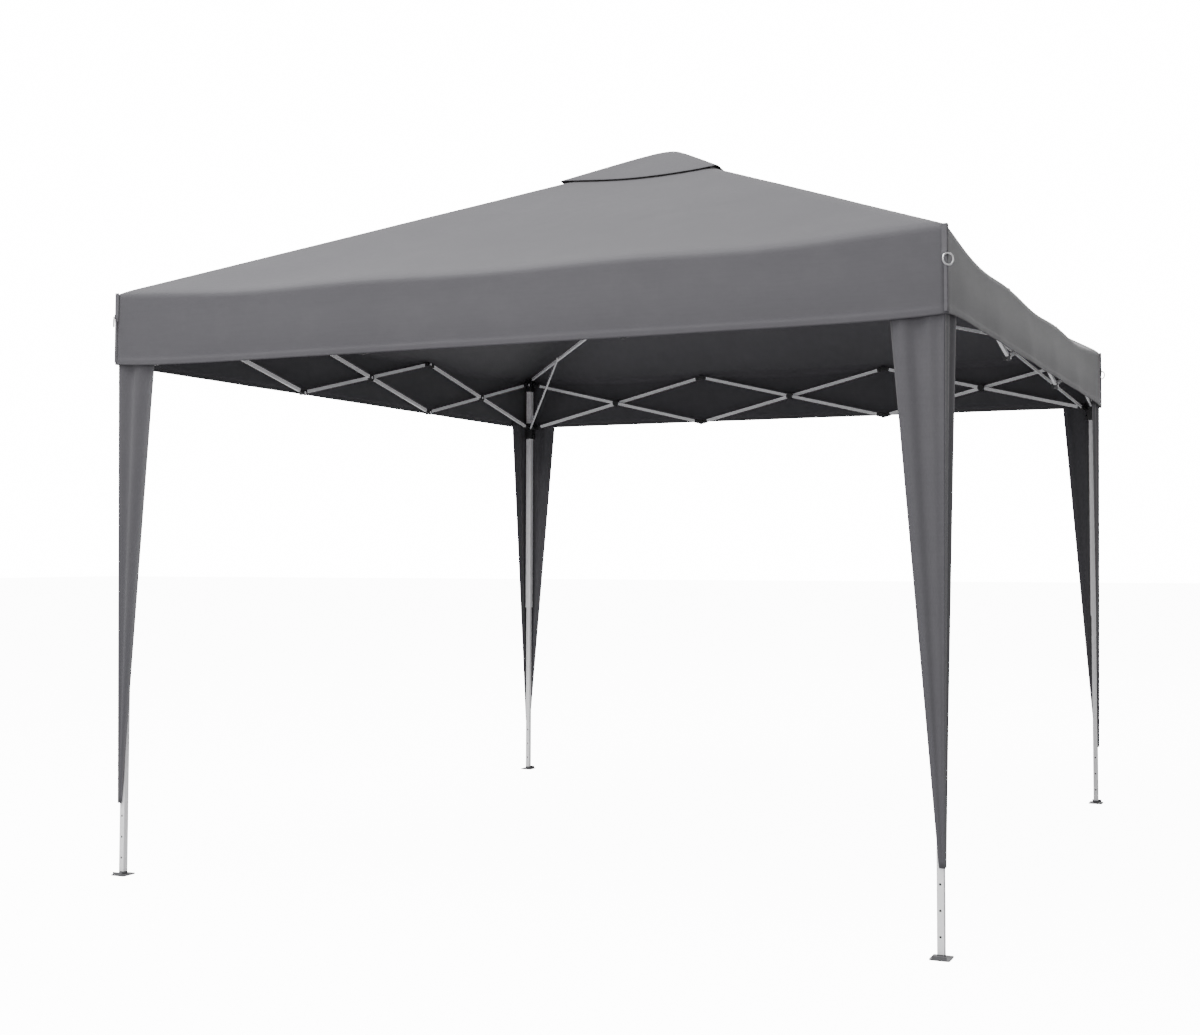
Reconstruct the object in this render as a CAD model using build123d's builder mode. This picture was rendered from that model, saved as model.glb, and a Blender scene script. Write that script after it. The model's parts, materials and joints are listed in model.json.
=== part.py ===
"""Folding shelter on four telescopic legs: a scissor truss on each side, four hinged rafters that
meet at a hub, and a fabric roof with a valance, a vent cap and a tapered curtain at each leg."""
import os
from math import atan2, cos, degrees, hypot, radians, sin, sqrt

from build123d import *

# Overall sizes, in millimetres
leg_spacing = 2900.0
truss_pin_height = 2008.0
truss_rise = 226.0
units_per_side = 3
roof_peak_height = 2736.0

# Legs
outer_leg_width = 26.0
inner_leg_width = 20.0
leg_wall = 1.5
outer_leg_foot_height = 841.0
leg_overlap = 350.0
foot_width = 58.0
foot_plate = 4.0
foot_lip = 9.0
peg_hole_radius = 4.5
height_hole_radius = 3.5
height_hole_pitch = 72.0
height_hole_count = 3
height_hole_first = 61.0

# Scissor bars and their pivots
pivot_offset = 32.0
bar_height = 14.0
bar_depth = 10.0
bar_wall = 1.2
bar_gap = 2.0
pin_radius = 3.0
pin_clearance = 0.15
washer_radius = 9.0
rivet_head_radius = 6.0
rivet_head = 2.0
side_clearance = 0.3
solid_end = 14.0
relief_radius = 2.5

# Corner brackets and sliding runners
bracket_width = 36.0
bracket_above_pin = 26.0
bracket_below_pin = 34.0
bracket_roof = 4.0
runner_width = 38.0
runner_clearance = 0.5
runner_above_pin = 24.0
runner_below_pin = 56.0
lug_height = 20.0
lug_root = 3.0

# Lock button in each runner
button_drop = 40.0
button_radius = 6.0
button_clearance = 0.3
button_proud = 9.0
button_head_radius = 9.0
button_head = 5.0

# Rafters, struts and hub
rafter_pin_rise = 28.0
rafter_pin_reach = 44.0
rafter_angle = 6.3
lower_rafter_length = 985.0
strut_joint_reach = 480.0
rafter_height = 12.0
rafter_depth = 10.0
strut_depth = 5.0
plane_gap = 1.0
cheek = 4.0
cheek_radius = 9.0
hub_pin_height = 2640.0
hub_pin_reach = 65.0
hub_radius = 84.0
hub_plate = 4.0
hub_plate_rise = 16.0
post_radius = 12.5
post_wall = 1.5
cap_radius = 42.0
cap_gap = 12.0
cap_height = 12.0

# Fabric
cloth = 2.0
valance_clearance = 12.0
valance_depth = 250.0
vent_half = 250.0
vent_cap_half = 330.0
vent_lift = 16.0
curtain_top_width = 155.0
curtain_foot_width = 17.0
curtain_foot_height = 250.0

half_spacing = leg_spacing / 2
runner_pin_height = truss_pin_height - truss_rise
unit_width = (leg_spacing - 2 * pivot_offset) / units_per_side
bar_length = hypot(unit_width, truss_rise)
bar_angle = degrees(atan2(truss_rise, unit_width))
hole_radius = pin_radius + pin_clearance
bar_plane = (bar_depth + bar_gap) / 2
leg_top_height = truss_pin_height + bracket_above_pin - bracket_roof
valance_half = half_spacing + outer_leg_width / 2 + valance_clearance
eave_height = truss_pin_height + bracket_above_pin + 6.0
valance_foot = eave_height - valance_depth

corners = {
    "back_left": (-1, 1),
    "back_right": (1, 1),
    "front_right": (1, -1),
    "front_left": (-1, -1),
}
sides = {
    "back": ("back_left", "back_right"),
    "left": ("back_left", "front_left"),
    "right": ("back_right", "front_right"),
    "front": ("front_left", "front_right"),
}

os.makedirs("parts", exist_ok=True)


def save(piece, name):
    piece.part.label = name
    export_step(piece.part, f"parts/{name}.step")


def corner_point(corner, height=0.0):
    sign_x, sign_y = corners[corner]
    return Vector(sign_x * half_spacing, sign_y * half_spacing, height)


def side_plane(side):
    """Upright plane through two legs: x runs along the side, y is up, and its origin is on the ground."""
    start, end = sides[side]
    along = (corner_point(end) - corner_point(start)).normalized()
    return Plane(corner_point(start), x_dir=along, z_dir=along.cross(Vector(0, 0, 1)))


def rafter_plane(corner):
    """Upright diagonal plane of a corner: x runs inwards from the leg, y is up."""
    sign_x, sign_y = corners[corner]
    inwards = Vector(-sign_x, -sign_y, 0).normalized()
    return Plane(corner_point(corner), x_dir=inwards, z_dir=inwards.cross(Vector(0, 0, 1)))


def bar_frame(plane, start, end, shift):
    """Plane at the middle of a bar between two points of an upright plane, x along the bar."""
    middle = ((start[0] + end[0]) / 2, (start[1] + end[1]) / 2)
    along = plane.x_dir * (end[0] - start[0]) + plane.y_dir * (end[1] - start[1])
    origin = plane.origin + plane.x_dir * middle[0] + plane.y_dir * middle[1]
    return Plane(origin + plane.z_dir * shift, x_dir=along, z_dir=plane.z_dir)


def disc(plane, place, radius, start, end, mode=Mode.ADD):
    """Round pin, washer or hole on a plane, from one distance above it to another."""
    with BuildSketch(plane.offset(min(start, end))) as outline:
        with Locations(place):
            Circle(radius)
    extrude(outline.sketch, amount=abs(end - start), mode=mode)


def rivet(plane, place, face, far_face):
    """Washer, pin and riveted head that stand on a bar's face and pass through its neighbour."""
    away = 1 if far_face > face else -1
    gap_end = face + away * (bar_gap - side_clearance)
    head_start = far_face + away * side_clearance
    disc(plane, place, washer_radius, face, gap_end)
    disc(plane, place, pin_radius, face, head_start + away * rivet_head)
    disc(plane, place, rivet_head_radius, head_start, head_start + away * rivet_head)


def tube_bar(plane, span, height, depth):
    """Flat tube with round solid ends about its two end pivots."""
    with BuildSketch(plane.offset(-depth / 2)) as outline:
        SlotCenterToCenter(span, height)
    extrude(outline.sketch, amount=depth)
    with BuildSketch(plane.offset(-depth / 2 + bar_wall)) as cavity:
        Rectangle(span - 2 * solid_end, height - 2 * bar_wall)
    extrude(cavity.sketch, amount=depth - 2 * bar_wall, mode=Mode.SUBTRACT)


def make_leg(corner):
    """Outer tube with a hole for each lock button, and the inner tube with its foot."""
    plane = Plane(corner_point(corner))
    cavity = outer_leg_width - 2 * leg_wall
    with BuildPart() as outer:
        with BuildSketch(plane.offset(outer_leg_foot_height)):
            Rectangle(outer_leg_width, outer_leg_width)
            Rectangle(cavity, cavity, mode=Mode.SUBTRACT)
        extrude(amount=leg_top_height - outer_leg_foot_height)
        disc(
            button_plane(corner),
            (0, 0),
            button_radius,
            outer_leg_width / 2 - leg_wall,
            outer_leg_width / 2,
            Mode.SUBTRACT,
        )
    save(outer, f"upper_leg_{corner}")

    bore = inner_leg_width - 2 * leg_wall
    sign_x, sign_y = corners[corner]
    with BuildPart() as inner:
        with BuildSketch(plane):
            RectangleRounded(foot_width, foot_width, 5)
        extrude(amount=foot_plate)
        with BuildSketch(plane.offset(foot_plate)):
            with Locations((0, sign_y * (foot_width - foot_plate) / 2)):
                Rectangle(foot_width - 2 * foot_lip, foot_plate)
        extrude(amount=foot_lip)
        with BuildSketch(plane.offset(foot_plate)):
            Rectangle(inner_leg_width, inner_leg_width)
            Rectangle(bore, bore, mode=Mode.SUBTRACT)
        extrude(amount=outer_leg_foot_height + leg_overlap - foot_plate)
        peg = (-sign_x * foot_width / 3, 0)
        disc(plane, peg, peg_hole_radius, 0, foot_plate, Mode.SUBTRACT)
        front = Plane(corner_point(corner), x_dir=(1, 0, 0), z_dir=(0, -1, 0))
        for number in range(height_hole_count):
            place = (0, height_hole_first + number * height_hole_pitch)
            reach = inner_leg_width / 2
            disc(front, place, height_hole_radius, -reach, reach, Mode.SUBTRACT)
    save(inner, f"lower_leg_{corner}")


def button_plane(corner):
    """Plane through the leg's axis whose z points out through the face that holds the lock button."""
    sign_x, _ = corners[corner]
    height = runner_pin_height - button_drop
    return Plane(corner_point(corner, height), x_dir=(0, 1, 0), z_dir=(-sign_x, 0, 0))


def side_lug(side, corner, height, core_width, is_top):
    """Lug that holds the end of a side's bar. Lugs in the near plane carry the pin."""
    start, _ = sides[side]
    plane = side_plane(side)
    at_start = corner == start
    pivot = pivot_offset if at_start else leg_spacing - pivot_offset
    root = core_width / 2 - lug_root
    root_x = root if at_start else leg_spacing - root
    near = at_start != is_top
    middle = bar_plane if near else -bar_plane
    with BuildSketch(plane.offset(middle - bar_depth / 2)) as outline:
        with Locations(((root_x + pivot) / 2, height)):
            Rectangle(abs(pivot - root_x), lug_height)
        with Locations((pivot, height)):
            Circle(lug_height / 2)
    extrude(outline.sketch, amount=bar_depth)
    if near:
        rivet(plane, (pivot, height), bar_gap / 2, -bar_gap / 2 - bar_depth)
    else:
        disc(plane, (pivot, height), hole_radius, -bar_gap / 2 - bar_depth, 0, Mode.SUBTRACT)


def sides_at(corner):
    return [side for side, ends in sides.items() if corner in ends]


def make_bracket(corner):
    """Cap on the leg's top, with a lug for each side truss and a fork for the rafter."""
    with BuildPart() as bracket:
        with BuildSketch(Plane(corner_point(corner, truss_pin_height - bracket_below_pin))):
            Rectangle(bracket_width, bracket_width)
        extrude(amount=bracket_above_pin + bracket_below_pin)
        for side in sides_at(corner):
            side_lug(side, corner, truss_pin_height, bracket_width, True)
        plane = rafter_plane(corner)
        pivot = (rafter_pin_reach, truss_pin_height + rafter_pin_rise)
        inner = rafter_depth / 2 + side_clearance
        for face in (inner, -inner - cheek):
            with BuildSketch(plane.offset(face)):
                with Locations((rafter_pin_reach, pivot[1])):
                    Circle(cheek_radius)
                with BuildLine():
                    Polyline(
                        (0, truss_pin_height),
                        (rafter_pin_reach, pivot[1] - cheek_radius),
                        (rafter_pin_reach + cheek_radius, pivot[1]),
                        (rafter_pin_reach, pivot[1] + 2),
                        (0, truss_pin_height + bracket_above_pin),
                        close=True,
                    )
                make_face()
            extrude(amount=cheek)
        disc(plane, pivot, pin_radius, -inner - cheek, inner + cheek)
        with BuildSketch(Plane(corner_point(corner, truss_pin_height - bracket_below_pin))):
            Rectangle(outer_leg_width, outer_leg_width)
        extrude(amount=bracket_above_pin + bracket_below_pin - bracket_roof, mode=Mode.SUBTRACT)
    save(bracket, f"top_bracket_{corner}")


def make_runner(corner):
    """Sleeve that slides on the leg, with two truss lugs, the strut's lug and the button's boss."""
    floor_height = runner_pin_height - runner_below_pin
    height = runner_above_pin + runner_below_pin
    bore = outer_leg_width + 2 * runner_clearance
    plane = rafter_plane(corner)
    pivot = (rafter_pin_reach, runner_pin_height)
    with BuildPart() as runner:
        with BuildSketch(Plane(corner_point(corner, floor_height))):
            RectangleRounded(runner_width, runner_width, 3)
        extrude(amount=height)
        for side in sides_at(corner):
            side_lug(side, corner, runner_pin_height, runner_width, False)
        with BuildSketch(plane.offset(-rafter_depth / 2)):
            with Locations((rafter_pin_reach / 2, runner_pin_height)):
                Rectangle(rafter_pin_reach, lug_height)
            with Locations(pivot):
                Circle(lug_height / 2)
        extrude(amount=rafter_depth)
        with BuildSketch(Plane(corner_point(corner, floor_height))):
            Rectangle(bore, bore)
        extrude(amount=height, mode=Mode.SUBTRACT)
        disc(plane, pivot, hole_radius, -rafter_depth / 2, rafter_depth / 2, Mode.SUBTRACT)
        disc(
            button_plane(corner),
            (0, 0),
            button_radius + button_clearance,
            outer_leg_width / 2,
            runner_width,
            Mode.SUBTRACT,
        )
    save(runner, f"runner_{corner}")

    nose = outer_leg_width / 2 + side_clearance
    head = runner_width / 2 + button_proud - button_head
    with BuildPart() as button:
        disc(button_plane(corner), (0, 0), button_radius, nose, head)
        disc(button_plane(corner), (0, 0), button_head_radius, head, head + button_head)
    save(button, f"lock_button_{corner}")


def make_truss(side):
    """Scissor units of one side. Falling bars lie in the near plane and carry every rivet."""
    plane = side_plane(side)
    half_bar = bar_length / 2
    face = -bar_depth / 2
    far_face = face - bar_gap - bar_depth
    for unit in range(units_per_side):
        left = pivot_offset + unit * unit_width
        right = left + unit_width
        falling = bar_frame(
            plane, (left, truss_pin_height), (right, runner_pin_height), bar_plane
        )
        with BuildPart() as fall:
            tube_bar(falling, bar_length, bar_height, bar_depth)
            for place in (-half_bar, 0, half_bar):
                rivet(falling, (place, 0), face, far_face)
            disc(falling, (0, 0), relief_radius, 0, bar_depth / 2, Mode.SUBTRACT)
        save(fall, f"{side}_truss_fall_{unit + 1}")

        rising = bar_frame(
            plane, (left, runner_pin_height), (right, truss_pin_height), -bar_plane
        )
        with BuildPart() as rise:
            tube_bar(rising, bar_length, bar_height, bar_depth)
            for place in (-half_bar, 0, half_bar):
                disc(rising, (place, 0), hole_radius, face, -face, Mode.SUBTRACT)
        save(rise, f"{side}_truss_rise_{unit + 1}")


def rafter_points():
    """Pivots in a corner's diagonal plane: bracket, strut joint, knee, hub and the strut's foot."""
    angle = radians(rafter_angle)
    root = (rafter_pin_reach, truss_pin_height + rafter_pin_rise)
    joint = (root[0] + strut_joint_reach * cos(angle), root[1] + strut_joint_reach * sin(angle))
    knee = (root[0] + lower_rafter_length * cos(angle), root[1] + lower_rafter_length * sin(angle))
    hub_end = (half_spacing * sqrt(2) - hub_pin_reach, hub_pin_height)
    strut_foot = (rafter_pin_reach, runner_pin_height)
    return root, joint, knee, hub_end, strut_foot


def make_rafter(corner):
    """Lower rafter with the strut's and knee's pins, the upper rafter and the strut."""
    plane = rafter_plane(corner)
    root, joint, knee, hub_end, strut_foot = rafter_points()
    face = rafter_depth / 2
    frame_lower = bar_frame(plane, root, knee, 0)
    half_lower = lower_rafter_length / 2
    with BuildPart() as lower:
        tube_bar(frame_lower, lower_rafter_length, rafter_height, rafter_depth)
        disc(frame_lower, (-half_lower, 0), hole_radius, -face, face, Mode.SUBTRACT)
        joint_place = (strut_joint_reach - half_lower, 0)
        strut_far = face + plane_gap + strut_depth + side_clearance
        disc(frame_lower, joint_place, pin_radius, face, strut_far + rivet_head)
        disc(frame_lower, joint_place, rivet_head_radius, strut_far, strut_far + rivet_head)
        upper_far = -face - plane_gap - rafter_depth - side_clearance
        disc(frame_lower, (half_lower, 0), pin_radius, upper_far - rivet_head, -face)
        disc(frame_lower, (half_lower, 0), rivet_head_radius, upper_far - rivet_head, upper_far)
        disc(frame_lower, (0, 0), relief_radius, -face, 0, Mode.SUBTRACT)
    save(lower, f"lower_rafter_{corner}")

    shift = -rafter_depth - plane_gap
    frame_upper = bar_frame(plane, knee, hub_end, shift)
    upper_length = hypot(hub_end[0] - knee[0], hub_end[1] - knee[1])
    with BuildPart() as upper:
        tube_bar(frame_upper, upper_length, rafter_height, rafter_depth)
        for place in (-upper_length / 2, upper_length / 2):
            disc(frame_upper, (place, 0), hole_radius, -face, face, Mode.SUBTRACT)
        disc(frame_upper, (0, 0), relief_radius, -face, 0, Mode.SUBTRACT)
    save(upper, f"upper_rafter_{corner}")

    strut_shift = face + plane_gap + strut_depth / 2
    frame_strut = bar_frame(plane, strut_foot, joint, strut_shift)
    strut_length = hypot(joint[0] - strut_foot[0], joint[1] - strut_foot[1])
    with BuildPart() as strut:
        with BuildSketch(frame_strut.offset(-strut_depth / 2)):
            SlotCenterToCenter(strut_length, rafter_height)
            with Locations((-strut_length / 2, 0), (strut_length / 2, 0)):
                Circle(hole_radius, mode=Mode.SUBTRACT)
        extrude(amount=strut_depth)
    save(strut, f"strut_{corner}")


def make_hub():
    """Plate above the rafters' ends with a hanging lug for each, and the post with its cap."""
    plate_height = hub_pin_height + hub_plate_rise
    face = rafter_depth / 2
    lug_side = {"back_left": 1, "back_right": -1, "front_right": 1, "front_left": 1}
    with BuildPart() as hub:
        with BuildSketch(Plane.XY.offset(plate_height)):
            Circle(hub_radius)
        extrude(amount=hub_plate)
        for corner, lug in lug_side.items():
            plane = rafter_plane(corner)
            pivot = (half_spacing * sqrt(2) - hub_pin_reach, hub_pin_height)
            bar_middle = -rafter_depth - plane_gap
            middle = bar_middle + lug * (rafter_depth / 2 + plane_gap + cheek / 2)
            with BuildSketch(plane.offset(middle - cheek / 2)):
                with Locations(pivot):
                    Circle(cheek_radius)
                with Locations((pivot[0], hub_pin_height + hub_plate_rise / 2)):
                    Rectangle(2 * cheek_radius, hub_plate_rise)
            extrude(amount=cheek)
            if corner == "back_left":
                near = middle - cheek / 2
                far = bar_middle - face - side_clearance
                disc(plane, pivot, pin_radius, far - rivet_head, near)
                disc(plane, pivot, rivet_head_radius, far - rivet_head, far)
    save(hub, "hub")

    post_foot = plate_height + hub_plate
    post_top = roof_peak_height - cap_gap - cap_height
    with BuildPart() as post:
        with BuildSketch(Plane.XY.offset(post_foot)):
            Circle(post_radius)
            Circle(post_radius - post_wall, mode=Mode.SUBTRACT)
        extrude(amount=post_top - post_foot)
        with BuildSketch(Plane.XY.offset(post_top)):
            Circle(cap_radius)
        with BuildSketch(Plane.XY.offset(post_top + cap_height)):
            Circle(cap_radius / 3)
        loft()
    save(post, "peak_post")


def roof_height(half_width, lift=0.0):
    """Height of the roof's outer face at a distance from the centre, measured to a side."""
    slope = (roof_peak_height - eave_height) / valance_half
    return roof_peak_height + lift - slope * half_width


def make_canopy():
    """Roof skin with a square vent opening, the valance round its edge and the leg curtains."""
    skin = cloth / cos(atan2(roof_peak_height - eave_height, valance_half))
    with BuildPart() as canopy:
        for lower, mode in ((0.0, Mode.ADD), (skin, Mode.SUBTRACT)):
            with BuildSketch(Plane.XY.offset(roof_height(valance_half) - lower)):
                Rectangle(2 * valance_half, 2 * valance_half)
            with BuildSketch(Plane.XY.offset(roof_height(vent_half) - lower)):
                Rectangle(2 * vent_half, 2 * vent_half)
            loft(mode=mode)
        with BuildSketch(Plane.XY.offset(roof_height(vent_half) - skin)):
            Rectangle(2 * vent_half - 2 * cloth, 2 * vent_half - 2 * cloth)
        extrude(amount=skin, mode=Mode.SUBTRACT)
        with BuildSketch(Plane.XY.offset(valance_foot)):
            Rectangle(2 * valance_half, 2 * valance_half)
            Rectangle(2 * valance_half - 2 * cloth, 2 * valance_half - 2 * cloth, mode=Mode.SUBTRACT)
        extrude(amount=valance_depth)
        for outwards in (Vector(0, -1, 0), Vector(1, 0, 0), Vector(0, 1, 0), Vector(-1, 0, 0)):
            along = Vector(0, 0, 1).cross(outwards)
            wall = Plane(outwards * (valance_half - cloth), x_dir=along, z_dir=outwards)
            for flip in (-1, 1):
                with BuildSketch(wall):
                    with BuildLine():
                        Polyline(
                            (flip * valance_half, valance_foot),
                            (flip * (valance_half - curtain_top_width), valance_foot),
                            (flip * (valance_half - curtain_foot_width), curtain_foot_height),
                            (flip * valance_half, curtain_foot_height),
                            close=True,
                        )
                    make_face()
                extrude(amount=cloth)
    save(canopy, "canopy")

    with BuildPart() as cap:
        for lower, mode in ((0.0, Mode.ADD), (skin, Mode.SUBTRACT)):
            with BuildSketch(Plane.XY.offset(roof_height(vent_cap_half, vent_lift) - lower)):
                Rectangle(2 * vent_cap_half, 2 * vent_cap_half)
            with BuildSketch(Plane.XY.offset(roof_height(1.0, vent_lift) - lower)):
                Rectangle(2, 2)
            loft(mode=mode)
        with BuildSketch(Plane.XY.offset(roof_height(1.0, vent_lift) - skin)):
            Rectangle(2, 2)
        extrude(amount=skin)
    save(cap, "vent_cap")


for corner_name in corners:
    make_leg(corner_name)
    make_bracket(corner_name)
    make_runner(corner_name)
    make_rafter(corner_name)
for side_name in sides:
    make_truss(side_name)
make_hub()
make_canopy()
print(f"bar {bar_length:.1f} mm at {bar_angle:.2f} degrees, unit {unit_width:.1f} mm")
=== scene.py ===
import json
import math

import bmesh
import bpy
from mathutils import Matrix, Vector, noise

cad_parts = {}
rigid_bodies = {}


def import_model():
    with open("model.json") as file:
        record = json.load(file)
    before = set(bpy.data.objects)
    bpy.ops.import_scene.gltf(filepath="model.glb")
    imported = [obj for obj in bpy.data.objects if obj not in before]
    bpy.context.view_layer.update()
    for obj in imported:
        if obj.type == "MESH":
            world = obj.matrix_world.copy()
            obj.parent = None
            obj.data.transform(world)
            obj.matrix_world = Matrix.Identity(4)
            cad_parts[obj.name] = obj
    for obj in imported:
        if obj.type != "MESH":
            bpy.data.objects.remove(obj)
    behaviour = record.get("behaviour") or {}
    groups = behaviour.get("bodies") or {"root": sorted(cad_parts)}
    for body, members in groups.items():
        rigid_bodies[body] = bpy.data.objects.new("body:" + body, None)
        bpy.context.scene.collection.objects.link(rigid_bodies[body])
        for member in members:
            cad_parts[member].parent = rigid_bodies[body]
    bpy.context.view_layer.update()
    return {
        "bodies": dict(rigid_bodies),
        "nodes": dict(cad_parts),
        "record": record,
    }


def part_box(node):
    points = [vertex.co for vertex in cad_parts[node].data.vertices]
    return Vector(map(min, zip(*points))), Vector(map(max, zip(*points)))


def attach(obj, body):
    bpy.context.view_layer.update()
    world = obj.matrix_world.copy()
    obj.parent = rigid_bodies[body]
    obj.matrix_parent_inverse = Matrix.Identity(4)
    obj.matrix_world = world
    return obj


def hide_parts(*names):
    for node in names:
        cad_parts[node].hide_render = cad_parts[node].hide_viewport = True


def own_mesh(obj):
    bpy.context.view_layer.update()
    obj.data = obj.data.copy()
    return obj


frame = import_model()
bodies = frame["bodies"]
corners = {
    "front_left": (-1, -1),
    "front_right": (1, -1),
    "back_right": (1, 1),
    "back_left": (-1, 1),
}


def makeCamera():
    view = {
        "place": (2.485, -5.670, 1.110),
        "turn": -0.397,
        "tilt": 0.041,
        "lens": 46.15,
        "shift": (-0.080, -0.0205),
    }
    camera = bpy.data.objects.new("camera", bpy.data.cameras.new("camera"))
    camera.data.lens = view["lens"]
    camera.data.shift_x, camera.data.shift_y = view["shift"]
    camera.location = view["place"]
    level = math.cos(view["tilt"])
    ahead = Vector(
        (math.sin(view["turn"]) * level, math.cos(view["turn"]) * level, math.sin(view["tilt"]))
    )
    camera.rotation_mode = "QUATERNION"
    camera.rotation_quaternion = ahead.to_track_quat("-Z", "Y")
    bpy.context.scene.collection.objects.link(camera)
    bpy.context.scene.camera = camera


makeCamera()
print("camera placed")


# shader groups shared by the finishes

def newGroup(name, inputs, outputs):
    group = bpy.data.node_groups.new(name, "ShaderNodeTree")
    for label, kind, value in inputs:
        socket = group.interface.new_socket(label, in_out="INPUT", socket_type=kind)
        if value is not None:
            socket.default_value = value
    for label, kind in outputs:
        group.interface.new_socket(label, in_out="OUTPUT", socket_type=kind)
    start = group.nodes.new("NodeGroupInput")
    end = group.nodes.new("NodeGroupOutput")
    return group, start, end


def addNode(tree, kind, **values):
    node = tree.nodes.new(kind)
    for name, value in values.items():
        if hasattr(node, name):
            setattr(node, name, value)
        else:
            node.inputs[name].default_value = value
    return node


def mathNode(tree, operation, first, second, third=None):
    node = tree.nodes.new("ShaderNodeMath")
    node.operation = operation
    for place, value in enumerate((first, second, third)):
        if value is None:
            continue
        if isinstance(value, (int, float)):
            node.inputs[place].default_value = value
        else:
            tree.links.new(value, node.inputs[place])
    return node.outputs[0]


def makeWeave():
    # two crossed sets of threads on the cloth's own UV map, in metres
    group, start, end = newGroup(
        "weave",
        [("Vector", "NodeSocketVector", None), ("Threads", "NodeSocketFloat", 900.0)],
        [("Height", "NodeSocketFloat"), ("Slub", "NodeSocketFloat")],
    )
    split = addNode(group, "ShaderNodeSeparateXYZ")
    group.links.new(start.outputs["Vector"], split.inputs[0])
    waves = []
    for axis in (0, 1):
        turns = mathNode(group, "MULTIPLY", split.outputs[axis], start.outputs["Threads"])
        waves.append(mathNode(group, "SINE", turns, 0.0))
    cross = mathNode(group, "MULTIPLY", waves[0], waves[1])
    height = mathNode(group, "MULTIPLY_ADD", cross, 0.5, 0.5)
    slub = addNode(group, "ShaderNodeTexNoise", Scale=9.0, Detail=6.0, Roughness=0.7)
    stretch = addNode(group, "ShaderNodeMapping")
    stretch.inputs["Scale"].default_value = (1.0, 14.0, 1.0)
    group.links.new(start.outputs["Vector"], stretch.inputs["Vector"])
    group.links.new(stretch.outputs[0], slub.inputs["Vector"])
    group.links.new(height, end.inputs["Height"])
    group.links.new(slub.outputs["Fac"], end.inputs["Slub"])
    return group


def makeCrease():
    # broad soft folds left in the cloth from packing; the cloth finishes also paint shade into the
    # low parts of these folds
    group, start, end = newGroup(
        "creases",
        [("Vector", "NodeSocketVector", None), ("Scale", "NodeSocketFloat", 2.2)],
        [("Height", "NodeSocketFloat")],
    )
    soft = addNode(group, "ShaderNodeTexNoise", Detail=3.0, Roughness=0.45, Distortion=0.4)
    group.links.new(start.outputs["Vector"], soft.inputs["Vector"])
    group.links.new(start.outputs["Scale"], soft.inputs["Scale"])
    group.links.new(soft.outputs["Fac"], end.inputs["Height"])
    return group


def makeGrime():
    # faint dust and handling marks in scattered spots
    group, start, end = newGroup(
        "grime",
        [("Vector", "NodeSocketVector", None), ("Amount", "NodeSocketFloat", 0.2)],
        [("Mask", "NodeSocketFloat")],
    )
    spots = addNode(group, "ShaderNodeTexNoise", Scale=7.0, Detail=8.0, Roughness=0.65)
    group.links.new(start.outputs["Vector"], spots.inputs["Vector"])
    shaped = addNode(group, "ShaderNodeMapRange")
    shaped.inputs["From Min"].default_value = 0.48
    shaped.inputs["From Max"].default_value = 0.78
    group.links.new(spots.outputs["Fac"], shaped.inputs["Value"])
    scaled = mathNode(group, "MULTIPLY", shaped.outputs[0], start.outputs["Amount"])
    group.links.new(scaled, end.inputs["Mask"])
    return group


weaveGroup = makeWeave()
creaseGroup = makeCrease()
grimeGroup = makeGrime()


def newMaterial(name):
    material = bpy.data.materials.new(name)
    material.use_nodes = True
    tree = material.node_tree
    return material, tree, tree.nodes["Principled BSDF"]


def placeGroup(tree, group, vector, **values):
    node = tree.nodes.new("ShaderNodeGroup")
    node.node_tree = group
    tree.links.new(vector, node.inputs["Vector"])
    for label, value in values.items():
        node.inputs[label].default_value = value
    return node


def mixColour(tree, factor, first, second):
    mix = tree.nodes.new("ShaderNodeMix")
    mix.data_type = "RGBA"
    for socket, value in ((mix.inputs[0], factor), (mix.inputs[6], first), (mix.inputs[7], second)):
        if isinstance(value, (int, float, tuple)):
            socket.default_value = value
        else:
            tree.links.new(value, socket)
    return mix.outputs[2]


clothLook = {
    "slubRough": 0.16,
    "sheenRough": 0.45,
    "specular": 0.35,
    "creaseDistance": 0.012,
    "threadDepth": 0.22,
    "threadDistance": 0.0004,
}
hardLook = {"grainRough": 0.12, "grainDistance": 0.0003}


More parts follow.
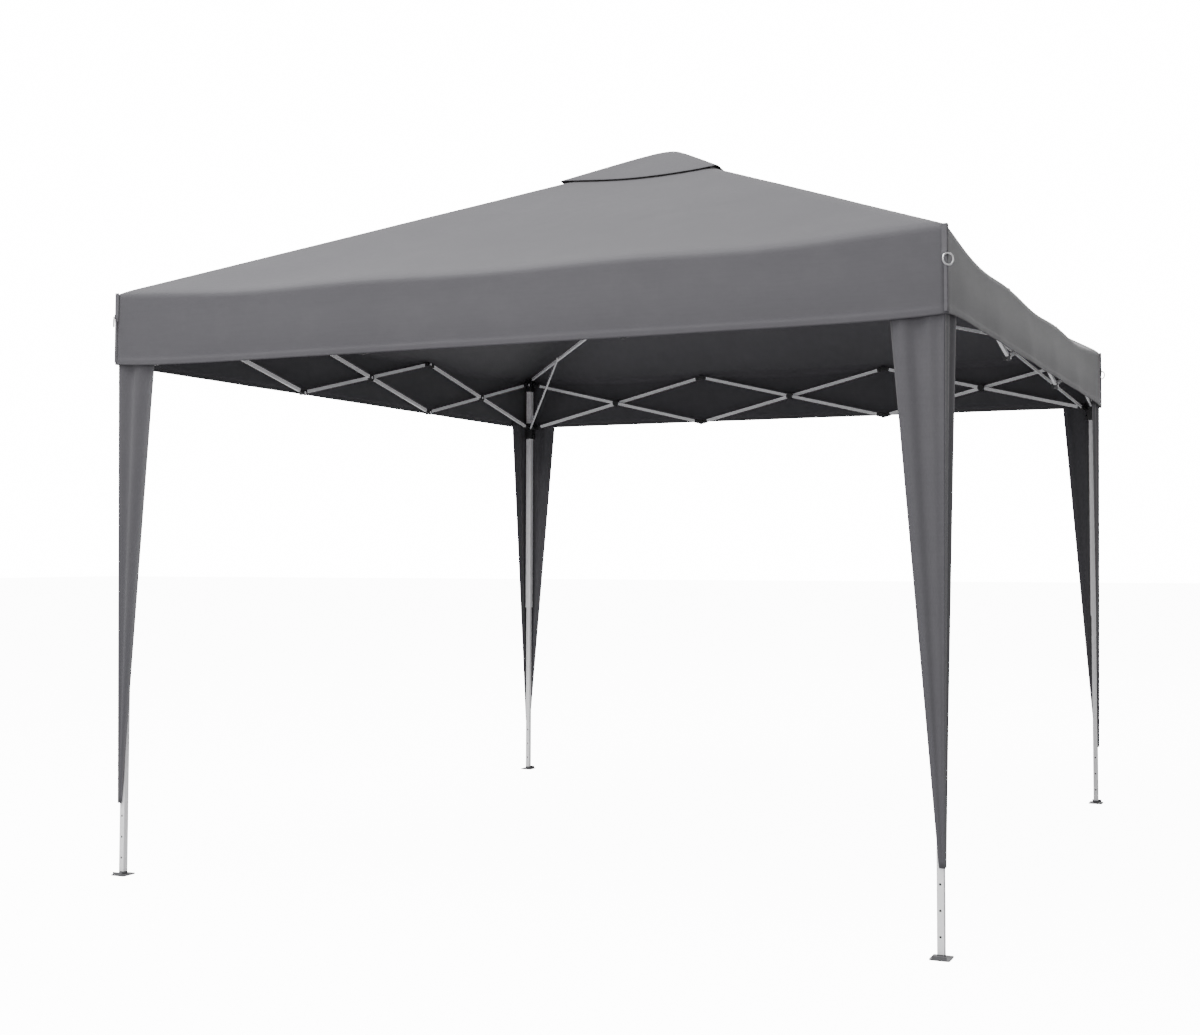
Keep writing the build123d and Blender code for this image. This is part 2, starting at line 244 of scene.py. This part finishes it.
def clothFinish(name, finish):
    material, tree, shader = newMaterial(name)
    place = addNode(tree, "ShaderNodeTexCoord")
    weave = placeGroup(tree, weaveGroup, place.outputs["UV"], Threads=finish["threads"])
    crease = placeGroup(tree, creaseGroup, place.outputs["Object"], Scale=finish["creaseScale"])
    grime = placeGroup(tree, grimeGroup, place.outputs["Object"], Amount=finish["grime"])
    cloth = mixColour(tree, weave.outputs["Slub"], finish["dark"], finish["light"])
    # painted shade: the cloth colour is darkened towards the finish's shade colour in the low parts
    # of the crease folds
    paintedFoldShade = mixColour(tree, crease.outputs["Height"], finish["shade"], (1.0, 1.0, 1.0, 1.0))
    toned = tree.nodes.new("ShaderNodeMix")
    toned.data_type = "RGBA"
    toned.blend_type = "MULTIPLY"
    toned.inputs[0].default_value = 1.0
    tree.links.new(cloth, toned.inputs[6])
    tree.links.new(paintedFoldShade, toned.inputs[7])
    dusty = mixColour(tree, grime.outputs["Mask"], toned.outputs[2], finish["dust"])
    tree.links.new(dusty, shader.inputs["Base Color"])
    slub = weave.outputs["Slub"]
    rough = mathNode(tree, "MULTIPLY_ADD", slub, clothLook["slubRough"], finish["rough"])
    tree.links.new(rough, shader.inputs["Roughness"])
    shader.inputs["Sheen Weight"].default_value = finish["sheen"]
    shader.inputs["Sheen Roughness"].default_value = clothLook["sheenRough"]
    shader.inputs["Specular IOR Level"].default_value = clothLook["specular"]
    soft = addNode(
        tree,
        "ShaderNodeBump",
        Strength=finish["creaseDepth"],
        Distance=clothLook["creaseDistance"],
    )
    tree.links.new(crease.outputs["Height"], soft.inputs["Height"])
    threads = addNode(
        tree,
        "ShaderNodeBump",
        Strength=clothLook["threadDepth"],
        Distance=clothLook["threadDistance"],
    )
    tree.links.new(weave.outputs["Height"], threads.inputs["Height"])
    tree.links.new(soft.outputs["Normal"], threads.inputs["Normal"])
    tree.links.new(threads.outputs["Normal"], shader.inputs["Normal"])
    return material


def hardFinish(name, finish):
    material, tree, shader = newMaterial(name)
    place = addNode(tree, "ShaderNodeTexCoord")
    grime = placeGroup(tree, grimeGroup, place.outputs["Object"], Amount=finish["grime"])
    grain = addNode(tree, "ShaderNodeTexNoise", Scale=finish["grainScale"], Detail=3.0)
    tree.links.new(place.outputs["Object"], grain.inputs["Vector"])
    base = mixColour(tree, grain.outputs["Fac"], finish["dark"], finish["light"])
    if "foot" in finish:
        # the foot plate below footTop is coloured much darker than the painted tube above it
        split = addNode(tree, "ShaderNodeSeparateXYZ")
        tree.links.new(place.outputs["Object"], split.inputs[0])
        low = mathNode(tree, "LESS_THAN", split.outputs[2], finish["footTop"])
        base = mixColour(tree, low, base, finish["foot"])
    dusty = mixColour(tree, grime.outputs["Mask"], base, finish["dust"])
    tree.links.new(dusty, shader.inputs["Base Color"])
    speck = grain.outputs["Fac"]
    rough = mathNode(tree, "MULTIPLY_ADD", speck, hardLook["grainRough"], finish["rough"])
    tree.links.new(rough, shader.inputs["Roughness"])
    shader.inputs["Metallic"].default_value = finish["metal"]
    bump = addNode(
        tree, "ShaderNodeBump", Strength=finish["bump"], Distance=hardLook["grainDistance"]
    )
    tree.links.new(grain.outputs["Fac"], bump.inputs["Height"])
    tree.links.new(bump.outputs["Normal"], shader.inputs["Normal"])
    return material


roofCloth = clothFinish(
    "roofCloth",
    {
        "dark": (0.056, 0.054, 0.061, 1.0),
        "light": (0.074, 0.072, 0.080, 1.0),
        "shade": (0.90, 0.90, 0.90, 1.0),
        "dust": (0.24, 0.235, 0.24, 1.0),
        "threads": 2400.0,
        "creaseScale": 1.7,
        "creaseDepth": 0.5,
        "grime": 0.035,
        "rough": 0.62,
        "sheen": 0.18,
    },
)
webbing = clothFinish(
    "webbing",
    {
        "dark": (0.075, 0.073, 0.080, 1.0),
        "light": (0.11, 0.107, 0.116, 1.0),
        "shade": (0.9, 0.9, 0.9, 1.0),
        "dust": (0.22, 0.22, 0.22, 1.0),
        "threads": 3600.0,
        "creaseScale": 9.0,
        "creaseDepth": 0.1,
        "grime": 0.1,
        "rough": 0.66,
        "sheen": 0.1,
    },
)
whiteSteel = hardFinish(
    "whiteSteel",
    {
        "dark": (0.82, 0.82, 0.83, 1.0),
        "light": (0.90, 0.90, 0.905, 1.0),
        "dust": (0.45, 0.44, 0.43, 1.0),
        "foot": (0.085, 0.085, 0.09, 1.0),
        "footTop": 0.0135,
        "grainScale": 420.0,
        "grime": 0.10,
        "rough": 0.30,
        "metal": 0.0,
        "bump": 0.25,
    },
)
# black moulded plastic, also used for the black discs of painted shade behind the leg holes
blackPlasticAndHoleShade = hardFinish(
    "blackPlasticAndHoleShade",
    {
        "dark": (0.012, 0.012, 0.013, 1.0),
        "light": (0.024, 0.024, 0.026, 1.0),
        "dust": (0.09, 0.088, 0.085, 1.0),
        "grainScale": 600.0,
        "grime": 0.22,
        "rough": 0.42,
        "metal": 0.0,
        "bump": 0.4,
    },
)
brightSteel = hardFinish(
    "brightSteel",
    {
        "dark": (0.62, 0.62, 0.63, 1.0),
        "light": (0.78, 0.78, 0.79, 1.0),
        "dust": (0.35, 0.34, 0.33, 1.0),
        "grainScale": 300.0,
        "grime": 0.08,
        "rough": 0.22,
        "metal": 1.0,
        "bump": 0.15,
    },
)
print("finishes made")


def newPiece(name, mesh, material):
    data = bpy.data.meshes.new(name)
    mesh.to_mesh(data)
    mesh.free()
    piece = bpy.data.objects.new(name, data)
    piece.data.materials.append(material)
    bpy.context.scene.collection.objects.link(piece)
    return piece


def smooth(piece):
    for face in piece.data.polygons:
        face.use_smooth = True


def fade(low, high, value):
    share = min(max((value - low) / (high - low), 0.0), 1.0)
    return share * share * (3 - 2 * share)


roof = {
    "half": 1.487,
    "cornerHeight": 2.040,
    "peakHeight": 2.735,
    "segments": 72,
    "ventShare": 0.17,
    "panelSag": 0.022,
    "valanceRows": (0.08, 0.22, 0.38, 0.55, 0.72, 0.86, 0.91, 0.925, 0.965, 1.0),
    "cornerFoot": 1.783,
    "hemStart": 0.92,
    "hem": 0.0018,
    "thickness": 0.0012,
    "ripple": 0.004,
    "rippleScale": 3.1,
    "swell": 1.6,
    "swellScale": 1.3,
    "edgeFrom": 0.45,
    "pins": 0.318,
    "subdivisions": 1,
}
valance = {
    "straightenBy": 0.8,
    "cornerHold": 12,
    "wave": 0.0045,
    "waves": 9.0,
    "wavePhase": 1.3,
    "pucker": 0.004,
    "puckerDown": 16.0,
    "puckerAlong": 30.0,
    "puckerEnd": 0.14,
    "puckerStart": 0.03,
}
hipCrease = {"corner": 0.8, "cornerBand": 0.02, "slope": 0.45, "band": 0.004}
# how each side hangs: drawn in and down at the eave, lower between the truss's top pins
drape = {
    "front": {"pull": 0.012, "dip": 0.021, "swag": 0.008, "curve": 4.0, "foot": 1.771},
    "right": {"pull": 0.021, "dip": 0.024, "swag": 0.013, "curve": 4.0, "foot": 1.795},
    "back": {"pull": 0.014, "dip": 0.020, "swag": 0.010, "curve": 4.0, "foot": 1.786},
    "left": {"pull": 0.014, "dip": 0.020, "swag": 0.012, "curve": 4.0, "foot": 1.780},
}


def sideOf(x, y):
    if abs(x) >= abs(y):
        return drape["right"] if x > 0 else drape["left"]
    return drape["back"] if y > 0 else drape["front"]


def swag(along):
    # 0 over the truss's top pins and 1 midway between them
    pins = roof["pins"]
    return 0.5 - 0.5 * math.cos(math.pi * (along - pins) / pins) if along < 3 * pins else 0.0


def slack(side, along):
    # how far a side has drawn in between its corners, 0 at a corner and 1 over the middle
    return 1 - min(abs(along), 1.0) ** side["curve"]


def roofPoint(x, y):
    half = roof["half"]
    u, v = x / half, y / half
    reach = max(abs(u), abs(v), 1e-9)
    hip = min(abs(u), abs(v)) / reach
    fall = roof["peakHeight"] - roof["cornerHeight"]
    height = roof["peakHeight"] - fall * reach
    height -= roof["panelSag"] * (1 - hip * hip) * math.sin(math.pi * min(reach, 1.0))
    edge = fade(roof["edgeFrom"], 1.0, reach)
    side = sideOf(x, y)
    height -= (side["dip"] * slack(side, hip) + side["swag"] * swag(hip)) * edge
    drawn = side["pull"] * slack(side, hip) * edge
    if abs(u) >= abs(v):
        x -= math.copysign(drawn, u)
    else:
        y -= math.copysign(drawn, v)
    fine, broad = roof["rippleScale"], roof["swellScale"]
    ripple = noise.noise(Vector((x * fine, y * fine, 0.3))) * roof["ripple"]
    ripple += noise.noise(Vector((x * broad, y * broad, 4.0))) * roof["ripple"] * roof["swell"]
    return Vector((x, y, height + ripple * (1 - hip**8) * (1 - edge * 0.5)))


def valancePoint(corner, share):
    # a point of the hanging edge, from its place on the eave and its share of the way down
    half = roof["half"]
    top = roofPoint(corner.x, corner.y)
    along = corner.y / half if abs(corner.x) >= abs(corner.y) else corner.x / half
    hang = sideOf(corner.x, corner.y)
    lift = (roof["cornerFoot"] - hang["foot"]) * abs(along) ** valance["cornerHold"]
    drop = top.z - hang["foot"] - lift
    outward = fade(0.0, valance["straightenBy"], share)
    place = Vector((top.x, top.y)).lerp(Vector((corner.x, corner.y)), outward)
    near = 1 - abs(along)
    turns = along * valance["waves"] + valance["wavePhase"]
    wave = valance["wave"] * math.sin(turns) * slack(hang, along) * share
    pinch = math.sin(share * valance["puckerDown"] + near * valance["puckerAlong"])
    pinch *= fade(valance["puckerEnd"], 0.0, near) * fade(0.0, valance["puckerStart"], near)
    pucker = valance["pucker"] * pinch
    side = Vector((corner.x, 0)) if abs(corner.x) >= abs(corner.y) else Vector((0, corner.y))
    place -= side.normalized() * (abs(wave) + max(pucker * (1 - share), 0.0))
    if share > roof["hemStart"]:
        place += side.normalized() * roof["hem"]
    return Vector((place.x, place.y, top.z - drop * share))


def clothUv(mesh):
    # metres across the cloth: seen from above on the roof, along and down on an upright side
    layer = mesh.loops.layers.uv.new("cloth")
    mesh.normal_update()
    for face in mesh.faces:
        normal = face.normal
        for loop in face.loops:
            place = loop.vert.co
            if abs(normal.z) > 0.5:
                loop[layer].uv = (place.x, place.y)
            elif abs(normal.x) > abs(normal.y):
                loop[layer].uv = (place.y, place.z)
            else:
                loop[layer].uv = (place.x, place.z)


def addThickness(piece, thickness, levels):
    soften = piece.modifiers.new("soften", "SUBSURF")
    soften.levels = levels
    soften.render_levels = levels
    wall = piece.modifiers.new("wall", "SOLIDIFY")
    wall.thickness = thickness
    wall.offset = -1.0


def followLegs(piece, hubShare):
    # the cloth bunches up between the legs: every point follows the four legs by its place
    half = roof["half"]
    for name, (signX, signY) in corners.items():
        group = piece.vertex_groups.new(name=f"leg_{name}")
        for vertex in piece.data.vertices:
            u = min(max(vertex.co.x / half, -1.0), 1.0)
            v = min(max(vertex.co.y / half, -1.0), 1.0)
            share = (1 + signX * u) * (1 + signY * v) / 4
            group.add([vertex.index], share * (1 - hubShare(vertex.co)), "REPLACE")
        hook = piece.modifiers.new(f"with_{name}", "HOOK")
        hook.object = bodies[f"leg_{name}"]
        hook.vertex_group = group.name
    group = piece.vertex_groups.new(name="hub")
    for vertex in piece.data.vertices:
        group.add([vertex.index], hubShare(vertex.co), "REPLACE")
    hook = piece.modifiers.new("with_hub", "HOOK")
    hook.object = bodies["hub"]
    hook.vertex_group = group.name


def hubShareOf(place):
    reach = max(abs(place.x), abs(place.y)) / roof["half"]
    return max(0.0, 1 - reach)


def makeRoof():
    mesh = bmesh.new()
    bmesh.ops.create_grid(
        mesh, x_segments=roof["segments"], y_segments=roof["segments"], size=roof["half"]
    )
    rim = [edge for edge in mesh.edges if edge.is_boundary]
    vent = roof["ventShare"] * roof["half"]
    middle = [
        face
        for face in mesh.faces
        if max(abs(face.calc_center_median().x), abs(face.calc_center_median().y)) < vent
    ]
    bmesh.ops.delete(mesh, geom=middle, context="FACES")
    starts = {}
    for vertex in mesh.verts:
        starts[vertex] = (vertex.co.copy(), 0.0)
    for share in roof["valanceRows"]:
        made = bmesh.ops.extrude_edge_only(mesh, edges=rim)["geom"]
        fresh = [item for item in made if isinstance(item, bmesh.types.BMVert)]
        rim = [edge for edge in made if isinstance(edge, bmesh.types.BMEdge)]
        for vertex in fresh:
            starts[vertex] = (vertex.co.copy(), share)
    for vertex, (place, share) in starts.items():
        vertex.co = valancePoint(place, share) if share > 0 else roofPoint(place.x, place.y)
    crease = mesh.edges.layers.float.new("crease_edge")
    for edge in mesh.edges:
        onHip = all(
            abs(abs(end.co.x) - abs(end.co.y)) < hipCrease["band"] for end in edge.verts
        )
        if onHip and abs(edge.verts[0].co.x) > roof["half"] - hipCrease["cornerBand"]:
            edge[crease] = hipCrease["corner"]
        elif onHip:
            edge[crease] = hipCrease["slope"]
    bmesh.ops.recalc_face_normals(mesh, faces=mesh.faces)
    clothUv(mesh)
    piece = newPiece("roof_cloth", mesh, roofCloth)
    followLegs(piece, hubShareOf)
    addThickness(piece, roof["thickness"], roof["subdivisions"])
    smooth(piece)
    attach(piece, "leg_back_left")
    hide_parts("canopy")


makeRoof()
print("roof made")

vent = {"half": 0.336, "segments": 28, "flap": 0.004, "gap": 0.012, "round": 0.12, "top": 2.752}


def makeVentCap():
    mesh = bmesh.new()
    bmesh.ops.create_grid(
        mesh, x_segments=vent["segments"], y_segments=vent["segments"], size=vent["half"]
    )
    rim = [edge for edge in mesh.edges if edge.is_boundary]
    whole = math.hypot(1.0, vent["round"]) - vent["round"]
    for vertex in mesh.verts:
        x, y = vertex.co.x, vertex.co.y
        share = max(abs(x), abs(y), 1e-6) / vent["half"]
        edge = roofPoint(x / share, y / share).z + vent["gap"]
        down = (math.hypot(share, vent["round"]) - vent["round"]) / whole
        vertex.co.z = vent["top"] + (edge - vent["top"]) * down
    made = bmesh.ops.extrude_edge_only(mesh, edges=rim)["geom"]
    for item in made:
        if isinstance(item, bmesh.types.BMVert):
            item.co.z -= vent["flap"]
    bmesh.ops.recalc_face_normals(mesh, faces=mesh.faces)
    clothUv(mesh)
    piece = newPiece("vent_cap_cloth", mesh, roofCloth)
    followLegs(piece, hubShareOf)
    addThickness(piece, roof["thickness"], 1)
    smooth(piece)
    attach(piece, "hub")
    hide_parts("vent_cap")


makeVentCap()
print("vent cap made")

curtain = {
    "top": 1.806,
    "foot": 0.25,
    "topWidth": 0.165,
    "footWidth": 0.018,
    "plane": 1.4805,
    "footPlane": 1.4655,
    "rows": 40,
    "columns": 14,
    "fold": 0.0115,
    "foldTurns": 12.5,
    "foldFrom": 0.25,
    "foldFade": 0.8,
    "gathered": 0.64,
    "thickness": 0.0009,
}


def makeCurtain(name, signX, signY):
    # one sheet bent round the leg's outer corner, tapering to its tie above the foot
    mesh = bmesh.new()
    bmesh.ops.create_grid(
        mesh, x_segments=2 * curtain["columns"], y_segments=curtain["rows"], size=1.0
    )
    for vertex in mesh.verts:
        across, down = vertex.co.x, (1 - vertex.co.y) / 2
        width = curtain["topWidth"] + (curtain["footWidth"] - curtain["topWidth"]) * down
        inward = abs(across) * width
        near = fade(0.0, curtain["foldFrom"], abs(across))
        phase = signX * 1.7 + signY * 0.6 + down * 1.2
        wave = math.sin(abs(across) * curtain["foldTurns"] + phase)
        inwardFold = curtain["fold"] * (0.5 + 0.5 * wave) * near
        inwardFold *= (1 - down) ** curtain["foldFade"]
        corner = curtain["plane"] + (curtain["footPlane"] - curtain["plane"]) * down
        plane = corner - inwardFold
        height = curtain["top"] + (curtain["foot"] - curtain["top"]) * down
        if across < 0:
            vertex.co = Vector((signX * (corner - inward), signY * plane, height))
        else:
            vertex.co = Vector((signX * plane, signY * (corner - inward), height))
    bmesh.ops.recalc_face_normals(mesh, faces=mesh.faces)
    clothUv(mesh)
    outwards = Vector((signX, signY, 0))
    if sum(face.normal.dot(outwards) for face in mesh.faces) < 0:
        bmesh.ops.reverse_faces(mesh, faces=mesh.faces)
    piece = newPiece(f"leg_curtain_{name}", mesh, roofCloth)
    addThickness(piece, curtain["thickness"], 1)
    smooth(piece)
    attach(piece, f"leg_{name}")
    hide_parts("canopy")
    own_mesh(piece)


for cornerName, (cornerX, cornerY) in corners.items():
    makeCurtain(cornerName, cornerX, cornerY)
print("curtains made")


def addBlock(mesh, centre, size, turn, bevel, segments=2):
    place = Matrix.Translation(centre) @ turn.to_4x4() @ Matrix.Diagonal((*size, 1.0))
    made = bmesh.ops.create_cube(mesh, size=1.0, matrix=place)
    edges = list({edge for vertex in made["verts"] for edge in vertex.link_edges})
    bmesh.ops.bevel(
        mesh, geom=edges, offset=bevel, segments=segments, affect="EDGES", profile=0.5, material=-1
    )


def addDrum(mesh, centre, radius, depth, turn, bevel=0.0008, sides=32):
    place = Matrix.Translation(centre) @ turn.to_4x4()
    made = bmesh.ops.create_cone(
        mesh,
        cap_ends=True,
        segments=sides,
        radius1=radius,
        radius2=radius,
        depth=depth,
        matrix=place,
    )
    rims = [
        edge
        for edge in {edge for vertex in made["verts"] for edge in vertex.link_edges}
        if any(len(face.verts) > 4 for face in edge.link_faces)
    ]
    bmesh.ops.bevel(
        mesh, geom=rims, offset=bevel, segments=2, affect="EDGES", profile=0.5, material=-1
    )


heightHoles = {
    "leg": 1.45,
    "radius": 0.0033,
    "heights": (0.061, 0.133, 0.205),
    "face": 0.0093,
    "disc": 0.0006,
    "bevel": 0.0001,
    "sides": 24,
}


def makeHeightHoles(name, signX, signY):
    # black discs just inside the tube behind its row of holes, painted shade for the dark inside of
    # the tube
    mesh = bmesh.new()
    turn = Matrix.Rotation(math.pi / 2, 3, "X")
    for height in heightHoles["heights"]:
        for face in (-heightHoles["face"], heightHoles["face"]):
            leg = heightHoles["leg"]
            centre = Vector((signX * leg, signY * leg + face, height))
            addDrum(
                mesh,
                centre,
                heightHoles["radius"],
                heightHoles["disc"],
                turn,
                heightHoles["bevel"],
                heightHoles["sides"],
            )
    piece = newPiece(f"height_holes_{name}", mesh, blackPlasticAndHoleShade)
    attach(piece, f"lower_leg_{name}")


for cornerName, (cornerX, cornerY) in corners.items():
    makeHeightHoles(cornerName, cornerX, cornerY)
print("height holes made")

knuckle = {
    "length": 0.042,
    "lead": 0.010,
    "height": 0.0185,
    "depth": 0.0116,
    "hub": 0.0165,
    "bevel": 0.0022,
    "fallMargin": 0.009,
    "riseMargin": 0.007,
    "faceInset": 0.005,
}


def barTurn(along, across):
    up = across.cross(along)
    return Matrix((along, up, across)).transposed()


def makeKnuckles():
    for body in sorted(frame["record"]["behaviour"]["bodies"]):
        if "_truss_" not in body:
            continue
        side = body.split("_")[0]
        falling = "_fall_" in body
        low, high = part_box(body)
        alongX = side in ("back", "front")
        margin = knuckle["fallMargin"] if falling else knuckle["riseMargin"]
        # x-running sides count from -x, and y-running sides from +y
        if alongX:
            first, last = low.x + margin, high.x - margin
            across = Vector((0, -1, 0))
        else:
            first, last = high.y - margin, low.y + margin
            across = Vector((-1, 0, 0))
        topHeight, footHeight = high.z - margin, low.z + margin
        startHeight, endHeight = (topHeight, footHeight) if falling else (footHeight, topHeight)
        axis = 0 if alongX else 1
        other = 1 - axis
        # the tube's middle is half its depth in from the face the rivets don't reach
        if falling:
            plane = low[other] + knuckle["faceInset"]
        else:
            plane = (low[other] + high[other]) / 2
        start, end = Vector(), Vector()
        start[axis], end[axis] = first, last
        start[other] = end[other] = plane
        start.z, end.z = startHeight, endHeight
        along = (end - start).normalized()
        turn = barTurn(along, across)
        mesh = bmesh.new()
        reach = (knuckle["length"] - knuckle["lead"]) / 2 - knuckle["lead"] / 2
        size = (knuckle["length"], knuckle["height"], knuckle["depth"])
        addBlock(mesh, start + along * reach, size, turn, knuckle["bevel"])
        addBlock(mesh, end - along * reach, size, turn, knuckle["bevel"])
        addDrum(mesh, (start + end) / 2, knuckle["hub"], knuckle["depth"], turn)
        piece = newPiece(f"knuckles_{body}", mesh, blackPlasticAndHoleShade)
        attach(piece, body)


makeKnuckles()
print("knuckles made")

blackNodes = ("top_bracket", "runner", "hub", "peak_post", "lock_button")
for nodeName, node in frame["nodes"].items():
    finish = blackPlasticAndHoleShade if nodeName.startswith(blackNodes) else whiteSteel
    if node.data.materials:
        node.data.materials[0] = finish
    else:
        node.data.materials.append(finish)
print("frame finished")

strap = {
    "leaf": 0.0165,
    "top": 2.036,
    "ring": 1.934,
    "foot": 1.790,
    "thick": 0.0018,
    "off": 0.0012,
    "tapeLeaf": 0.62,
    "tapeThick": 0.6,
    "loopTop": 0.026,
    "loopFoot": 0.010,
    "loopLeaf": 1.02,
    "loopThick": 2.4,
    "bevel": 0.3,
}
ring = {"radius": 0.0165, "wire": 0.0026, "sides": 36, "wireSides": 12, "standOff": 0.0045}


def makeStrap(name, signX, signY):
    # webbing folded round the corner down to the ring, and a narrower seam tape below it
    out = Vector((signX, signY, 0)).normalized()
    along = Vector((-signY, signX, 0)).normalized()
    half = roof["half"] + strap["off"]
    corner = Vector((signX * half, signY * half, 0))
    mesh = bmesh.new()
    level, width, thickness = strap["ring"], strap["leaf"], strap["thick"]
    loopTop, loopFoot = level + strap["loopTop"], level + strap["loopFoot"]
    parts = (
        (strap["top"], level, width, thickness),
        (level, strap["foot"], width * strap["tapeLeaf"], thickness * strap["tapeThick"]),
        (loopTop, loopFoot, width * strap["loopLeaf"], thickness * strap["loopThick"]),
    )
    for top, foot, leaf, thick in parts:
        for sideways in (Vector((-signX, 0, 0)), Vector((0, -signY, 0))):
            size = [thick, thick, top - foot]
            size[0 if sideways.x else 1] = leaf
            centre = corner + sideways * (leaf - thick) / 2 + Vector((0, 0, (top + foot) / 2))
            addBlock(mesh, centre, size, Matrix.Identity(3), thick * strap["bevel"])
    clothUv(mesh)
    piece = newPiece(f"corner_strap_{name}", mesh, webbing)
    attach(piece, f"leg_{name}")

    mesh = bmesh.new()
    centre = corner + Vector((0, 0, strap["ring"])) + out * ring["standOff"]
    made = bmesh.ops.create_circle(mesh, segments=ring["wireSides"], radius=ring["wire"])
    for vertex in made["verts"]:
        flat = vertex.co.copy()
        vertex.co = centre + along * (ring["radius"] + flat.x) + out * flat.y
    bmesh.ops.spin(
        mesh,
        geom=mesh.verts[:] + mesh.edges[:],
        cent=centre,
        axis=out,
        angle=math.tau,
        steps=ring["sides"],
        use_merge=True,
    )
    bmesh.ops.recalc_face_normals(mesh, faces=mesh.faces)
    piece = newPiece(f"d_ring_{name}", mesh, brightSteel)
    smooth(piece)
    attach(piece, f"leg_{name}")


for cornerName, (cornerX, cornerY) in corners.items():
    makeStrap(cornerName, cornerX, cornerY)
print("straps made")


stage = {
    "floorSize": 60.0,
    "floor": (0.90, 0.90, 0.90, 1.0),
    "floorBounce": (0.44, 0.44, 0.45, 1.0),
    "floorGlow": 12.0,
    "backdrop": 16.0,
    "ambient": 0.62,
    "aim": (0, 0, 1.5),
}
lamps = {
    "key": {"place": (-2.5, -3.5, 8.5), "size": 7.0, "power": 1400.0},
    "front": {"place": (0.8, -9.0, 3.2), "size": 4.0, "power": 300.0},
    "rim": {"place": (1.5, 8.0, 6.0), "size": 6.0, "power": 300.0},
}


def makeStage():
    mesh = bmesh.new()
    bmesh.ops.create_grid(mesh, x_segments=1, y_segments=1, size=stage["floorSize"])
    material, tree, shader = newMaterial("floor")
    ray = addNode(tree, "ShaderNodeLightPath")
    seen = mixColour(tree, ray.outputs["Is Camera Ray"], stage["floorBounce"], stage["floor"])
    tree.links.new(seen, shader.inputs["Base Color"])
    shader.inputs["Roughness"].default_value = 0.9
    glow = mathNode(tree, "MULTIPLY", ray.outputs["Is Camera Ray"], stage["floorGlow"])
    shader.inputs["Emission Color"].default_value = (1.0, 1.0, 1.0, 1.0)
    tree.links.new(glow, shader.inputs["Emission Strength"])
    newPiece("floor", mesh, material)
    for name, lamp in lamps.items():
        light = bpy.data.objects.new(name, bpy.data.lights.new(name, "AREA"))
        light.data.size = lamp["size"]
        light.data.energy = lamp["power"]
        light.location = lamp["place"]
        light.rotation_mode = "QUATERNION"
        aim = Vector(stage["aim"]) - Vector(lamp["place"])
        light.rotation_quaternion = aim.to_track_quat("-Z", "Y")
        bpy.context.scene.collection.objects.link(light)
    world = bpy.data.worlds.new("world")
    world.use_nodes = True
    sky = world.node_tree
    ray = addNode(sky, "ShaderNodeLightPath")
    extra = stage["backdrop"] - stage["ambient"]
    strength = mathNode(sky, "MULTIPLY_ADD", ray.outputs["Is Camera Ray"], extra, stage["ambient"])
    sky.links.new(strength, sky.nodes["Background"].inputs["Strength"])
    sky.nodes["Background"].inputs["Color"].default_value = (1.0, 1.0, 1.0, 1.0)
    bpy.context.scene.world = world


makeStage()
print("stage set")
